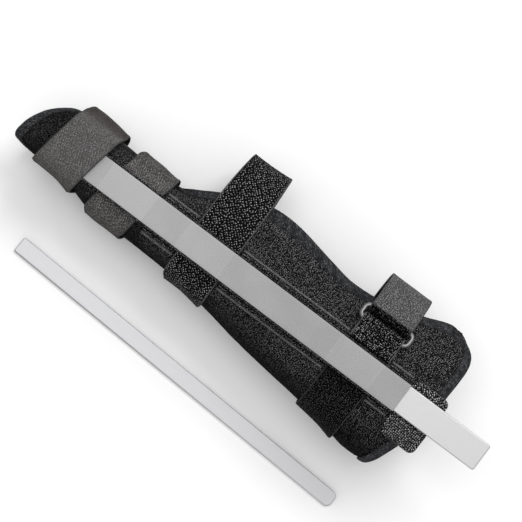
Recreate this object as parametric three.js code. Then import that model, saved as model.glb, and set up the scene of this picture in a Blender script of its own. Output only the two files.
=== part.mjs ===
// Ulnar gutter wrist and finger splint, closed, lying palm side down. Millimetres, +Z up.
// X runs from the fingertips to the forearm, +Y towards the thumb, +Z away from the palm.
// Every soft layer is wrapped on one cavity: each cross-section is a rounded box whose roof
// rises in a straight line towards the forearm and whose floor stays level.
// A "lift" is a height above that cavity's wall, measured outwards.
// A "turn" is the angle round the cavity: 0 on the roof, positive towards the thumb.

import * as THREE from 'three';

const DEGREE = Math.PI / 180;

// Cavity.
const TIP_X = -144;
const TIP_HEIGHT = 22;
const ROOF_SLOPE = 0.08;
const SECTION_POWER = 2.5;
const ULNAR_HALF_WIDTHS = [
  [-144, 6], [-128, 6.5], [-112, 7.5], [-92, 13], [-76, 13.5],
  [-40, 14.5], [-12, 18], [13, 22], [51, 26], [68, 28], [85, 31.5], [108, 30.5],
];
const RADIAL_HALF_WIDTHS = [
  [-144, 11], [-128, 15], [-112, 16], [-92, 13.5], [-76, 12.5], [-57, 13.5], [-48, 30],
  [-38, 43], [-22, 46], [0, 46], [30, 37], [52, 33], [66, 33.8], [80, 37.4], [94, 42.4], [108, 42.4],
];

// Lifts of each layer, inner face then outer face.
const LINING = [0, 0.6];
const FOAM = [0.95, 4.45];
const COVER = [4.8, 5.8];
const BINDING = [-1.7, 7.3];
const SEWN_STRAP = [6.3, 7.6];
const OVER_BINDING = 8.4;
const POCKET_BASE = [8.1, 8.7];
const STAY_LIFT = 9.3;
const POCKET_WALL_FOOT = 9.1;
const POCKET_ROOF = [11.5, 12.1];
const SEAM_TAPE = [6.1, 7.3];
const TONGUE = [7.7, 8.9];
const TONGUE_HOOK = [9.25, 9.85];
const RAISED_STRAP = [13.7, 15.0];
const PALMAR_POCKET = [6.15, 7.75];
const PALMAR_STRAP = [8.1, 9.4];
const HOOK_PATCH = [9.7, 10.3];
const FLAP = [10.6, 11.9];
const PLY_GAP = 0.35;
const FLOOR_Z = FLAP[1];

// Body outline: where the panel's two long edges run (Y on the outer face) and where it ends.
const DORSAL_EDGE = [
  [-144, 11], [-132, 15.5], [-122, 18.5], [-105, 18.5], [-58, 17.5], [-50, 22], [-40, 28.5],
  [-28, 34], [-14, 38.5], [1, 38.5], [24, 34], [40, 31.5], [64, 34], [80, 39.6], [94, 44.6],
  [108, 43.4],
];
const PALMAR_EDGE = [
  [-144, 8], [-112, 13], [-60, 12.5], [-41, 18], [0, 26], [36, 24], [80, 30], [108, 30],
];
const TIP_OUTLINE = [
  [-235, -120], [-200, -131], [-160, -136], [-120, -133], [-90, -130],
  [-65, -138], [-35, -142.6], [0, -142], [25, -140.5], [50, -137], [75, -130.5],
];
const FOREARM_OUTLINE = [
  [-235, 94], [-210, 103], [-150, 103.5], [-90, 98], [-60, 101.5],
  [-25, 107], [0, 109.2], [35, 109.6], [50, 110], [61, 109.6], [69, 107], [75, 99],
];
const FIRST_TURN = 75;
const LAST_TURN = -235;
const BODY_STEPS_ALONG = 24;
const BODY_STEPS_AROUND = 22;
const BINDING_LIP = 2.4;
const BINDING_WALL = 0.8;
const BINDING_GAP = 1.0;
const RIM_GAP = 0.95;

// Dorsal stay and its pocket.
const STAY = { start: -100, length: 243, width: 15, thickness: 1.8, corner: 1.2 };
const POCKET = { start: -118, end: 93, halfWidth: 9, windowHalfWidth: 7.9, steps: 18 };
const WINDOW_GAP = 0.2;

// Seam tapes sewn on the cover along both sides of the pocket, between one strap and the next.
const TAPE = { inner: 9.4, outer: 12.4 };
const TAPE_RUNS = [
  { name: 'knuckle', start: -61.8, end: -42, steps: 3 },
  { name: 'hand', start: -14, end: 52.4, steps: 8 },
  { name: 'cuff', start: 78.6, end: 92, steps: 2 },
];
const TONGUE_SIZE = { start: 93.4, end: 114, ulnar: -20, radial: 12.5 };
const TONGUE_PATCH = { start: 95, end: 112.5, ulnar: -18.5, radial: -8.8 };

// Palmar pocket, left empty, and the palmar stay lying beside the splint.
const PALMAR_SLEEVE = { start: -118, end: 97, halfWidth: 6.5, steps: 16 };
const LOOSE_STAY = {
  x: -111.2, y: -55.3, turn: -2.4, length: 212, width: 9, thickness: 2, startCorner: 1, endCorner: 4.2,
};

// Straps: centre on the roof, width along X, sideways slant, turn at which the flap begins. The
// palm strap is too stiff to follow the notch beside it, so it keeps one girth from widestFrom on.
const STRAP_THICKNESS = 1.3;
const STRAP_OVERLAP = { sewnEnd: -203, hookStart: 158, hookEnd: 200, flapEnd: 206 };
const FOLD_GAP = 0.9;
const HOOK_MARGIN = 1;
const STRAP_STEPS = { sewn: 30, flap: 18, hook: 5 };
const STRAPS = [
  { name: 'fingertip', centre: -112.5, width: 26, slant: 4.5, fold: 64, raised: true },
  { name: 'finger', centre: -77.5, width: 25, slant: 4, fold: 66, raised: false },
  { name: 'palm', centre: -28, width: 26, slant: 0, fold: 70, raised: false, widestFrom: -29 },
];

// Turns, in degrees, between which a strap changes from one lift to the next.
const ONTO_BINDING = [40, 56];
const ONTO_FLOOR = [75, 125];
const OFF_POCKET = [27, 64];
const ONTO_FLAP_LEVEL = [85, 145];

// Wrist strap, which runs through a metal ring on a short anchor.
const WRIST = { centre: 65.5, width: 24.5, roofTurn: -18, sideTurn: 62, turnStep: 8 };
const WRIST_END = { turnStep: 9, ontoFlapLevel: [95, 150] };
const RING = { length: 31, pitch: 7.5, wire: 2.5, corner: 2.6, lift: 9.6, y: 24.6 };
const RING_CLEARANCE = 0.45;
const RING_TILT_PLAY = 1.1;
const RING_CORNER_STEPS = 4;
const WIRE_SIDES = 8;
const FOLD_STEPS = 8;
const FOLD_LEAD = 3;
const ANCHOR_START_Y = 9.6;
const ANCHOR_MARGIN = 0.5;

const COLOURS = {
  pile: 0x17181a,
  webbing: 0x3b3739,
  binding: 0x2c2f36,
  lining: 0x232427,
  foam: 0x2a2a2c,
  hook: 0x1b1b1d,
  clear: 0xa8a9aa,
  aluminium: 0xd9dadd,
  steel: 0x8e9093,
};

function material(colour, roughness = 0.9, metalness = 0) {
  return new THREE.MeshStandardMaterial({ color: colour, roughness, metalness });
}

function mesh(name, geometry, surface) {
  const piece = new THREE.Mesh(geometry, surface);
  piece.name = name;
  return piece;
}

function mix(from, to, share) {
  return from + (to - from) * share;
}

function smoothStep(from, to, value) {
  return THREE.MathUtils.smoothstep(value, from, to);
}

// A smooth curve through [position, value] pairs, flat beyond its two ends.
function curveThrough(points) {
  const slopeAt = (i) => {
    if (i === 0 || i === points.length - 1) {
      return 0;
    }
    const before = points[i - 1];
    const after = points[i + 1];
    return (after[1] - before[1]) / (after[0] - before[0]);
  };
  return (position) => {
    const last = points.length - 1;
    if (position <= points[0][0]) {
      return points[0][1];
    }
    if (position >= points[last][0]) {
      return points[last][1];
    }
    const i = points.findIndex((point) => point[0] > position) - 1;
    const span = points[i + 1][0] - points[i][0];
    const t = (position - points[i][0]) / span;
    const lean = slopeAt(i) * span * t * (1 - t) * (1 - t);
    const leanNext = slopeAt(i + 1) * span * t * t * (t - 1);
    return mix(points[i][1], points[i + 1][1], t * t * (3 - 2 * t)) + lean + leanNext;
  };
}

const ulnarHalfWidth = curveThrough(ULNAR_HALF_WIDTHS);
const radialHalfWidth = curveThrough(RADIAL_HALF_WIDTHS);
const dorsalEdgeY = curveThrough(DORSAL_EDGE);
const palmarEdgeY = curveThrough(PALMAR_EDGE);
const tipX = curveThrough(TIP_OUTLINE);
const forearmX = curveThrough(FOREARM_OUTLINE);

function cavityHeight(x) {
  return TIP_HEIGHT + (x - TIP_X) * ROOF_SLOPE;
}

function centreZ(x) {
  return FLOOR_Z + cavityHeight(x) / 2;
}

function halfWidth(x, side) {
  return side > 0 ? radialHalfWidth(x) : ulnarHalfWidth(x);
}

// The point of the wrapped surface at one turn and lift. A stiff band keeps one width all the
// way across it, taken at widthX.
function wrapPoint(x, turn, lift, widthX = x) {
  const across = Math.sin(turn);
  const up = Math.cos(turn);
  const tall = cavityHeight(x) / 2 + lift;
  const wide = halfWidth(widthX, across) + lift;
  const sum = Math.abs(up / tall) ** SECTION_POWER + Math.abs(across / wide) ** SECTION_POWER;
  const reach = sum ** (-1 / SECTION_POWER);
  return new THREE.Vector3(x, reach * across, centreZ(x) + reach * up);
}

// Height of the wrapped surface above the centre line, at one Y.
function riseAt(x, y, lift) {
  const share = Math.min(Math.abs(y) / (halfWidth(x, y) + lift), 0.999);
  return (cavityHeight(x) / 2 + lift) * (1 - share ** SECTION_POWER) ** (1 / SECTION_POWER);
}

function roofPoint(x, y, lift) {
  return new THREE.Vector3(x, y, centreZ(x) + riseAt(x, y, lift));
}

function floorPoint(x, y, lift) {
  return new THREE.Vector3(x, y, centreZ(x) - riseAt(x, y, lift));
}

// Builds one closed body from corner points and triangles, turned so its faces point out.
function closedBody(points, triangles) {
  let volume = 0;
  for (const [a, b, c] of triangles) {
    volume += points[a].dot(new THREE.Vector3().crossVectors(points[b], points[c]));
  }
  const facing = volume < 0 ? triangles.map(([a, b, c]) => [a, c, b]) : triangles;
  const geometry = new THREE.BufferGeometry().setFromPoints(points);
  geometry.setIndex(facing.flat());
  geometry.computeVertexNormals();
  return geometry;
}

function quad(a, b, c, d) {
  return [[a, b, c], [a, c, d]];
}

// A sheet with thickness: two matching grids of points joined along their four edges.
function slab(across, along, innerPoint, outerPoint) {
  const points = [];
  for (const pointOf of [innerPoint, outerPoint]) {
    for (let i = 0; i <= across; i += 1) {
      for (let j = 0; j <= along; j += 1) {
        points.push(pointOf(i / across, j / along));
      }
    }
  }
  const inner = (i, j) => i * (along + 1) + j;
  const outer = (i, j) => inner(i, j) + (across + 1) * (along + 1);
  const triangles = [];
  for (let i = 0; i < across; i += 1) {
    for (let j = 0; j < along; j += 1) {
      triangles.push(...quad(outer(i, j), outer(i + 1, j), outer(i + 1, j + 1), outer(i, j + 1)));
      triangles.push(...quad(inner(i, j), inner(i, j + 1), inner(i + 1, j + 1), inner(i + 1, j)));
    }
  }
  for (let i = 0; i < across; i += 1) {
    triangles.push(...quad(inner(i, 0), inner(i + 1, 0), outer(i + 1, 0), outer(i, 0)));
    triangles.push(...quad(outer(i, along), outer(i + 1, along), inner(i + 1, along), inner(i, along)));
  }
  for (let j = 0; j < along; j += 1) {
    triangles.push(...quad(outer(0, j), outer(0, j + 1), inner(0, j + 1), inner(0, j)));
    triangles.push(...quad(inner(across, j), inner(across, j + 1), outer(across, j + 1), outer(across, j)));
  }
  return closedBody(points, triangles);
}

// A closed ring swept through a list of matching closed sections.
function sweptRing(sections) {
  const size = sections[0].length;
  const count = sections.length;
  const triangles = [];
  for (let k = 0; k < count; k += 1) {
    for (let m = 0; m < size; m += 1) {
      const next = ((k + 1) % count) * size;
      const side = (m + 1) % size;
      triangles.push(...quad(k * size + m, k * size + side, next + side, next + m));
    }
  }
  return closedBody(sections.flat(), triangles);
}

// Turn of the body's edge on the thumb side, on the roof or under the floor.
function edgeTurn(x, y, underneath) {
  const turn = Math.atan2(y, riseAt(x, y, COVER[1]));
  return underneath ? -Math.PI - turn : turn;
}

// A place on the body panel: u runs from fingertips to forearm, v from the dorsal edge round
// the little-finger side to the palmar edge.
function bodyPlace(u, v) {
  const nominalTurn = mix(FIRST_TURN, LAST_TURN, v);
  const x = mix(tipX(nominalTurn), forearmX(nominalTurn), u);
  const turn = mix(edgeTurn(x, dorsalEdgeY(x), false), edgeTurn(x, palmarEdgeY(x), true), v);
  return { x, turn };
}

function bodyLayer(name, [inner, outer], surface) {
  const pointAt = (lift) => (v, u) => {
    const place = bodyPlace(u, v);
    return wrapPoint(place.x, place.turn, lift);
  };
  return mesh(name, slab(BODY_STEPS_AROUND, BODY_STEPS_ALONG, pointAt(inner), pointAt(outer)), surface);
}

// Grid places round the body's rim, in order, each with its step towards the panel's inside.
function rimPlaces() {
  const places = [];
  const add = (along, around) => {
    const inAlong = (along === 0 ? 1 : 0) - (along === BODY_STEPS_ALONG ? 1 : 0);
    const inAround = (around === 0 ? 1 : 0) - (around === BODY_STEPS_AROUND ? 1 : 0);
    places.push({ along, around, inAlong, inAround });
  };
  for (let along = 0; along < BODY_STEPS_ALONG; along += 1) {
    add(along, 0);
  }
  for (let around = 0; around < BODY_STEPS_AROUND; around += 1) {
    add(BODY_STEPS_ALONG, around);
  }
  for (let along = BODY_STEPS_ALONG; along > 0; along -= 1) {
    add(along, BODY_STEPS_AROUND);
  }
  for (let around = BODY_STEPS_AROUND; around > 0; around -= 1) {
    add(0, around);
  }
  return places;
}

// The tape that binds the rim: a channel whose two lips lie on the lining and on the cover.
function edgeBinding() {
  const gridPoint = (along, around, lift) => {
    const place = bodyPlace(along / BODY_STEPS_ALONG, around / BODY_STEPS_AROUND);
    return wrapPoint(place.x, place.turn, lift);
  };
  const sections = rimPlaces().map(({ along, around, inAlong, inAround }) => {
    const cornerStretch = Math.hypot(inAlong, inAround);
    const shifted = (lift, inset) => {
      const rim = gridPoint(along, around, lift);
      const inside = gridPoint(along + inAlong, around + inAround, lift);
      const inwards = inside.sub(rim).normalize();
      return rim.addScaledVector(inwards, inset * cornerStretch);
    };
    const back = -RIM_GAP - BINDING_WALL;
    return [
      shifted(BINDING[0], back),
      shifted(BINDING[1], back),
      shifted(BINDING[1], BINDING_LIP),
      shifted(COVER[1] + BINDING_GAP, BINDING_LIP),
      shifted(COVER[1] + BINDING_GAP, -RIM_GAP),
      shifted(LINING[0] - BINDING_GAP, -RIM_GAP),
      shifted(LINING[0] - BINDING_GAP, BINDING_LIP),
      shifted(BINDING[0], BINDING_LIP),
    ];
  });
  return mesh('edge_binding', sweptRing(sections), material(COLOURS.binding));
}

function bodyGroup() {
  const group = new THREE.Group();
  group.add(bodyLayer('lining', LINING, material(COLOURS.lining)));
  group.add(bodyLayer('foam_pad', FOAM, material(COLOURS.foam)));
  group.add(bodyLayer('outer_cover', COVER, material(COLOURS.pile, 0.95)));
  group.add(edgeBinding());
  return group;
}

// A flat strip lying on the roof between two X and two Y.
function roofStrip(name, xRange, yRange, lifts, steps, surface) {
  const pointAt = (lift) => (across, along) => (
    roofPoint(mix(...xRange, along), mix(...yRange, across), lift)
  );
  return mesh(name, slab(steps[0], steps[1], pointAt(lifts[0]), pointAt(lifts[1])), surface);
}

// The pocket's clear top, level over the stay.
function pocketWindow() {
  const half = POCKET.windowHalfWidth;
  const pointAt = (lift) => (across, along) => {
    const point = roofPoint(mix(POCKET.start, POCKET.end, along), 0, lift);
    return point.setY(mix(-half, half, across));
  };
  const geometry = slab(2, POCKET.steps, pointAt(POCKET_ROOF[0]), pointAt(POCKET_ROOF[1]));
  return mesh('pocket_window', geometry, material(COLOURS.clear, 0.4));
}

// The pocket's side wall, from its base up past the edge of its clear top.
function pocketSide(name, side) {
  const inner = side * (POCKET.windowHalfWidth + WINDOW_GAP);
  const outer = side * POCKET.halfWidth;
  const pointAt = (isTop) => (across, along) => {
    const x = mix(POCKET.start, POCKET.end, along);
    const y = mix(inner, outer, across);
    return isTop ? roofPoint(x, 0, POCKET_ROOF[1]).setY(y) : roofPoint(x, y, POCKET_WALL_FOOT);
  };
  return mesh(name, slab(1, POCKET.steps, pointAt(false), pointAt(true)), material(COLOURS.pile));
}

function pocketGroup() {
  const group = new THREE.Group();
  const half = POCKET.halfWidth;
  const span = [POCKET.start, POCKET.end];
  group.add(roofStrip('pocket_base', span, [-half, half], POCKET_BASE, [6, POCKET.steps],
    material(COLOURS.pile)));
  group.add(pocketWindow());
  for (const [place, side] of [['ulnar', -1], ['radial', 1]]) {
    const sides = [side * TAPE.inner, side * TAPE.outer];
    group.add(pocketSide(`pocket_side_${place}`, side));
    for (const run of TAPE_RUNS) {
      group.add(roofStrip(`seam_tape_${place}_${run.name}`, [run.start, run.end], sides,
        SEAM_TAPE, [1, run.steps], material(COLOURS.webbing)));
    }
  }
  const tongueSpan = [TONGUE_SIZE.start, TONGUE_SIZE.end];
  const tongueSides = [TONGUE_SIZE.ulnar, TONGUE_SIZE.radial];
  group.add(roofStrip('pocket_tongue', tongueSpan, tongueSides, TONGUE, [6, 3],
    material(COLOURS.webbing)));
  const patchSpan = [TONGUE_PATCH.start, TONGUE_PATCH.end];
  const patchSides = [TONGUE_PATCH.ulnar, TONGUE_PATCH.radial];
  group.add(roofStrip('tongue_hook', patchSpan, patchSides, TONGUE_HOOK, [3, 3],
    material(COLOURS.hook)));
  return group;
}

// A flat bar with its ends and corners rounded, starting at X = 0 and centred on Y = 0.
function flatBar(length, width, thickness, startCorner, endCorner) {
  const half = width / 2;
  const outline = new THREE.Shape();
  outline.moveTo(startCorner, -half);
  outline.lineTo(length - endCorner, -half);
  outline.absarc(length - endCorner, -half + endCorner, endCorner, -Math.PI / 2, 0, false);
  outline.absarc(length - endCorner, half - endCorner, endCorner, 0, Math.PI / 2, false);
  outline.lineTo(startCorner, half);
  outline.absarc(startCorner, half - startCorner, startCorner, Math.PI / 2, Math.PI, false);
  outline.absarc(startCorner, -half + startCorner, startCorner, Math.PI, Math.PI * 1.5, false);
  return new THREE.ExtrudeGeometry(outline, {
    depth: thickness, bevelEnabled: false, curveSegments: 5,
  });
}

function dorsalStay() {
  const geometry = flatBar(STAY.length, STAY.width, STAY.thickness, STAY.corner, STAY.corner);
  const stay = mesh('dorsal_stay', geometry, material(COLOURS.aluminium, 0.35, 0.9));
  stay.position.copy(roofPoint(STAY.start, 0, STAY_LIFT));
  stay.rotation.y = -Math.atan(ROOF_SLOPE);
  return stay;
}

function palmarPieces() {
  const group = new THREE.Group();
  const sleeve = (lift) => (across, along) => {
    const y = mix(-PALMAR_SLEEVE.halfWidth, PALMAR_SLEEVE.halfWidth, across);
    return floorPoint(mix(PALMAR_SLEEVE.start, PALMAR_SLEEVE.end, along), y, lift);
  };
  const geometry = slab(4, PALMAR_SLEEVE.steps, sleeve(PALMAR_POCKET[0]), sleeve(PALMAR_POCKET[1]));
  group.add(mesh('palmar_pocket', geometry, material(COLOURS.pile)));
  const { length, width, thickness, startCorner, endCorner } = LOOSE_STAY;
  const bar = flatBar(length, width, thickness, startCorner, endCorner);
  const stay = mesh('palmar_stay', bar, material(COLOURS.aluminium, 0.35, 0.9));
  stay.position.set(LOOSE_STAY.x, LOOSE_STAY.y, 0);
  stay.rotation.z = LOOSE_STAY.turn * DEGREE;
  group.add(stay);
  return group;
}

// Lift of a strap's inner face where it is sewn down: over the roof, round the little-finger
// side and across the floor.
function sewnLift(turn, raised) {
  const size = Math.abs(turn) / DEGREE;
  const side = turn > 0 || raised ? OVER_BINDING : SEWN_STRAP[0];
  const roof = mix(SEWN_STRAP[0], side, smoothStep(...ONTO_BINDING, size));
  const low = mix(roof, PALMAR_STRAP[0], smoothStep(...ONTO_FLOOR, size));
  return raised ? mix(RAISED_STRAP[0], low, smoothStep(...OFF_POCKET, size)) : low;
}

// Lift of a flap's inner face, from the fold round the thumb side to the floor.
function flapLift(turn, strap) {
  const size = Math.abs(turn) / DEGREE;
  return mix(sewnLift(turn, strap.raised), FLAP[0], smoothStep(...ONTO_FLAP_LEVEL, size));
}

// A length of strap between two turns, lying at the lift given for each turn.
function strapPiece(name, strap, turns, liftAt, thickness, surface, steps, trim = 0) {
  const half = strap.width / 2 - trim;
  const pointAt = (height) => (around, along) => {
    const turn = mix(...turns, around) * DEGREE;
    const x = strap.centre + strap.slant * Math.sin(turn) + mix(-half, half, along);
    return wrapPoint(x, turn, liftAt(turn) + height, Math.max(x, strap.widestFrom ?? x));
  };
  return mesh(name, slab(steps, 2, pointAt(0), pointAt(thickness)), surface);
}

// The angle taken by a small gap at the fold.
function foldTurn(strap) {
  const reach = radialHalfWidth(strap.centre) + SEWN_STRAP[1];
  return FOLD_GAP / reach / DEGREE;
}

function strapGroup(strap) {
  const group = new THREE.Group();
  const { sewnEnd, flapEnd } = STRAP_OVERLAP;
  const webbing = material(COLOURS.webbing);
  group.add(strapPiece(`${strap.name}_strap`, strap, [strap.fold, sewnEnd],
    (turn) => sewnLift(turn, strap.raised), STRAP_THICKNESS, webbing, STRAP_STEPS.sewn));
  group.add(strapPiece(`${strap.name}_strap_flap`, strap, [strap.fold + foldTurn(strap), flapEnd],
    (turn) => flapLift(turn, strap), STRAP_THICKNESS, webbing, STRAP_STEPS.flap));
  group.add(hookPatch(`${strap.name}_strap_hook`, strap));
  return group;
}

// The hook patch under a flap's end.
function hookPatch(name, strap) {
  const turns = [STRAP_OVERLAP.hookStart, STRAP_OVERLAP.hookEnd];
  const thickness = HOOK_PATCH[1] - HOOK_PATCH[0];
  return strapPiece(name, strap, turns, () => HOOK_PATCH[0], thickness, material(COLOURS.hook),
    STRAP_STEPS.hook, HOOK_MARGIN);
}

// The frame of the wrist ring: X along its long side, Z out of the splint.
function ringFrame() {
  const here = (dx, dy) => roofPoint(WRIST.centre + dx, RING.y + dy, RING.lift);
  const along = here(5, 0).sub(here(-5, 0)).normalize();
  const across = here(0, 3).sub(here(0, -3)).normalize();
  const out = new THREE.Vector3().crossVectors(along, across).normalize();
  const side = new THREE.Vector3().crossVectors(out, along);
  const frame = new THREE.Matrix4().makeBasis(along, side, out);
  return frame.setPosition(here(0, 0));
}

function wristRing(frame) {
  const halfLong = RING.length / 2 - RING.wire / 2 - RING.corner;
  const halfShort = RING.pitch / 2 - RING.corner;
  const corners = [[1, 1, 0], [-1, 1, 90], [-1, -1, 180], [1, -1, 270]];
  const sections = [];
  for (const [alongSign, acrossSign, startAngle] of corners) {
    for (let k = 0; k <= RING_CORNER_STEPS; k += 1) {
      const angle = (startAngle + k * 90 / RING_CORNER_STEPS) * DEGREE;
      const middle = new THREE.Vector3(alongSign * halfLong, acrossSign * halfShort, 0);
      const outwards = new THREE.Vector3(Math.cos(angle), Math.sin(angle), 0);
      middle.addScaledVector(outwards, RING.corner);
      sections.push(wireSection(middle, outwards));
    }
  }
  const ring = mesh('wrist_ring', sweptRing(sections), material(COLOURS.steel, 0.3, 1));
  ring.applyMatrix4(frame);
  return ring;
}

function wireSection(middle, outwards) {
  const points = [];
  for (let m = 0; m < WIRE_SIDES; m += 1) {
    const angle = m * 360 / WIRE_SIDES * DEGREE;
    const point = middle.clone().addScaledVector(outwards, Math.cos(angle) * RING.wire / 2);
    point.z += Math.sin(angle) * RING.wire / 2;
    points.push(point);
  }
  return points;
}

// The anchor: sewn down beside the pocket, with its end folded round the ring's near bar.
function wristAnchor(frame) {
  const toRing = frame.clone().invert();
  const barY = -RING.pitch / 2;
  const hole = RING.wire / 2 + RING_CLEARANCE;
  const outer = hole + STRAP_THICKNESS;
  const outline = new THREE.Shape();
  const surfaceAt = (y, lift) => roofPoint(WRIST.centre, y, lift).applyMatrix4(toRing);
  const start = surfaceAt(ANCHOR_START_Y, SEWN_STRAP[0]);
  const top = surfaceAt(ANCHOR_START_Y, SEWN_STRAP[1]);
  const bend = surfaceAt((ANCHOR_START_Y + RING.y) / 2, SEWN_STRAP[0]);
  outline.moveTo(start.y, start.z);
  outline.lineTo(bend.y, bend.z);
  outline.absarc(barY, 0, outer, -Math.PI / 2, Math.PI / 2, false);
  outline.lineTo(top.y, top.z);
  const bore = new THREE.Path();
  bore.absarc(barY, 0, hole, 0, Math.PI * 2, true);
  outline.holes.push(bore);
  const width = WRIST.width - 2 * ANCHOR_MARGIN;
  const geometry = new THREE.ExtrudeGeometry(outline, {
    depth: width, bevelEnabled: false, curveSegments: 8,
  });
  geometry.translate(0, 0, -width / 2);
  geometry.applyMatrix4(new THREE.Matrix4().makeBasis(
    new THREE.Vector3(0, 1, 0), new THREE.Vector3(0, 0, 1), new THREE.Vector3(1, 0, 0)));
  const anchor = mesh('wrist_anchor', geometry, material(COLOURS.webbing));
  anchor.applyMatrix4(frame);
  return anchor;
}

// A band of even thickness along a line of points in each of several cross-sections.
function bandAlong(linesAcross, thickness) {
  const steps = linesAcross[0].length - 1;
  const offset = (across, along, distance) => {
    const line = linesAcross[Math.round(along * (linesAcross.length - 1))];
    const k = Math.round(across * steps);
    const ahead = line[Math.min(k + 1, steps)].clone().sub(line[Math.max(k - 1, 0)]);
    const out = new THREE.Vector3(0, ahead.z, -ahead.y).normalize();
    return line[k].clone().addScaledVector(out, distance);
  };
  return slab(steps, linesAcross.length - 1,
    (across, along) => offset(across, along, thickness / 2),
    (across, along) => offset(across, along, -thickness / 2));
}

// Points of the wrist strap's fold over the ring's far bar, in the ring's frame.
function foldPoints() {
  const barY = RING.pitch / 2;
  const radius = RING.wire / 2 + RING_CLEARANCE + STRAP_THICKNESS / 2;
  const points = [[barY + FOLD_LEAD, -radius]];
  for (let k = 0; k <= FOLD_STEPS; k += 1) {
    const angle = (-90 - k * 180 / FOLD_STEPS) * DEGREE;
    const play = k > FOLD_STEPS / 2 ? RING_TILT_PLAY : 0;
    points.push([barY + Math.cos(angle) * radius, Math.sin(angle) * radius + play]);
  }
  return points;
}

function onRing(frame, dx, [y, z]) {
  return new THREE.Vector3(dx, y, z).applyMatrix4(frame);
}

// The middle of the wrist strap at one place across it: from the roof down the little-finger
// side, under the floor, up the thumb side and over the ring's far bar.
function wristStrapLine(frame, dx) {
  const line = [];
  for (let turn = WRIST.roofTurn; turn >= WRIST.sideTurn - 360; turn -= WRIST.turnStep) {
    const side = Math.abs(turn) <= 180 ? turn : turn + 360;
    const lift = sewnLift(side * DEGREE, false) + STRAP_THICKNESS / 2;
    line.push(wrapPoint(WRIST.centre + dx, turn * DEGREE, lift));
  }
  for (const point of foldPoints()) {
    line.push(onRing(frame, dx, point));
  }
  return line;
}

// The middle of the loose end: from the ring down the thumb side to the hook patch.
function wristEndLine(frame, dx) {
  const [foldY, foldZ] = foldPoints().at(-1);
  const widthX = WRIST.centre + WRIST.width / 2;
  const line = [onRing(frame, dx, [foldY + FOLD_GAP, foldZ])];
  for (let turn = WRIST.sideTurn; turn <= STRAP_OVERLAP.flapEnd; turn += WRIST_END.turnStep) {
    const low = sewnLift(turn * DEGREE, false) + HOOK_PATCH[1] - PALMAR_STRAP[0] + PLY_GAP;
    const lift = mix(low, FLAP[0], smoothStep(...WRIST_END.ontoFlapLevel, turn));
    line.push(wrapPoint(WRIST.centre + dx, turn * DEGREE, lift + STRAP_THICKNESS / 2, widthX));
  }
  return line;
}

function wristStrapPieces(frame) {
  const group = new THREE.Group();
  const webbing = material(COLOURS.webbing);
  const stations = [-0.5, 0, 0.5].map((share) => share * WRIST.width);
  const strapLines = stations.map((dx) => wristStrapLine(frame, dx));
  const endLines = stations.map((dx) => wristEndLine(frame, dx));
  group.add(mesh('wrist_strap', bandAlong(strapLines, STRAP_THICKNESS), webbing));
  group.add(mesh('wrist_strap_end', bandAlong(endLines, STRAP_THICKNESS), webbing));
  const strap = { centre: WRIST.centre, width: WRIST.width, slant: 0 };
  group.add(hookPatch('wrist_strap_hook', strap));
  return group;
}

function wristGroup() {
  const frame = ringFrame();
  const group = new THREE.Group();
  group.add(wristRing(frame));
  group.add(wristAnchor(frame));
  group.add(wristStrapPieces(frame));
  return group;
}

// Puts the whole object's box over the origin, standing on Z = 0.
function centred(object) {
  const holder = new THREE.Group();
  holder.add(object);
  holder.updateMatrixWorld(true);
  const box = new THREE.Box3().setFromObject(object, true);
  const middle = box.getCenter(new THREE.Vector3());
  object.position.set(-middle.x, -middle.y, -box.min.z);
  return holder;
}

const splint = new THREE.Group();
splint.add(bodyGroup());
splint.add(pocketGroup());
splint.add(dorsalStay());
splint.add(palmarPieces());
for (const strap of STRAPS) {
  splint.add(strapGroup(strap));
}
splint.add(wristGroup());

export default centred(splint);
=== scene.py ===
"""Looks of an ulnar gutter wrist and finger splint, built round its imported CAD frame.

The soft layers are wrapped on one cavity, as in the CAD part. Lengths are in millimetres up to
the moment a mesh is made, and in metres after that. A "lift" is a height above the cavity's wall,
and a "turn" is the angle round it: 0 on the roof, positive towards the thumb.
"""

from math import atan, cos, pi, sin

import bpy
import numpy as np
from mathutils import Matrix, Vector, noise


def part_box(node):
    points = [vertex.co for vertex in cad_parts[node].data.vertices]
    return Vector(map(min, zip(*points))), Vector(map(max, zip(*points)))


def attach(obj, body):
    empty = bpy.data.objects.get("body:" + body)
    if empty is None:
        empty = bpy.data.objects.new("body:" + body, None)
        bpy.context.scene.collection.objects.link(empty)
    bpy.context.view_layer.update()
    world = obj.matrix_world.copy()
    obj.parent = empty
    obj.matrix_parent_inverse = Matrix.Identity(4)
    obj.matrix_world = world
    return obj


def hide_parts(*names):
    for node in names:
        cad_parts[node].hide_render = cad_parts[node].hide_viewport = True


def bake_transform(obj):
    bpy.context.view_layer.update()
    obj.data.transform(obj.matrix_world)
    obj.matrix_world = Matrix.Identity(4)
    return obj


MM = 0.001
DEGREE = pi / 180

# Cavity.
TIP_X = -144
TIP_HEIGHT = 22
ROOF_SLOPE = 0.08
SECTION_POWER = 2.5
FLOOR_Z = 11.9
ULNAR_HALF_WIDTHS = [
    (-144, 6), (-128, 6.5), (-112, 7.5), (-92, 13), (-76, 13.5),
    (-40, 14.5), (-12, 18), (13, 22), (51, 26), (68, 28), (85, 31.5), (108, 30.5),
]
RADIAL_HALF_WIDTHS = [
    (-144, 11), (-128, 15), (-112, 16), (-92, 13.5), (-76, 12.5), (-57, 13.5), (-48, 30),
    (-38, 43), (-22, 46), (0, 46), (30, 37), (52, 33), (66, 33.8), (80, 37.4), (94, 42.4),
    (108, 42.4),
]

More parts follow.
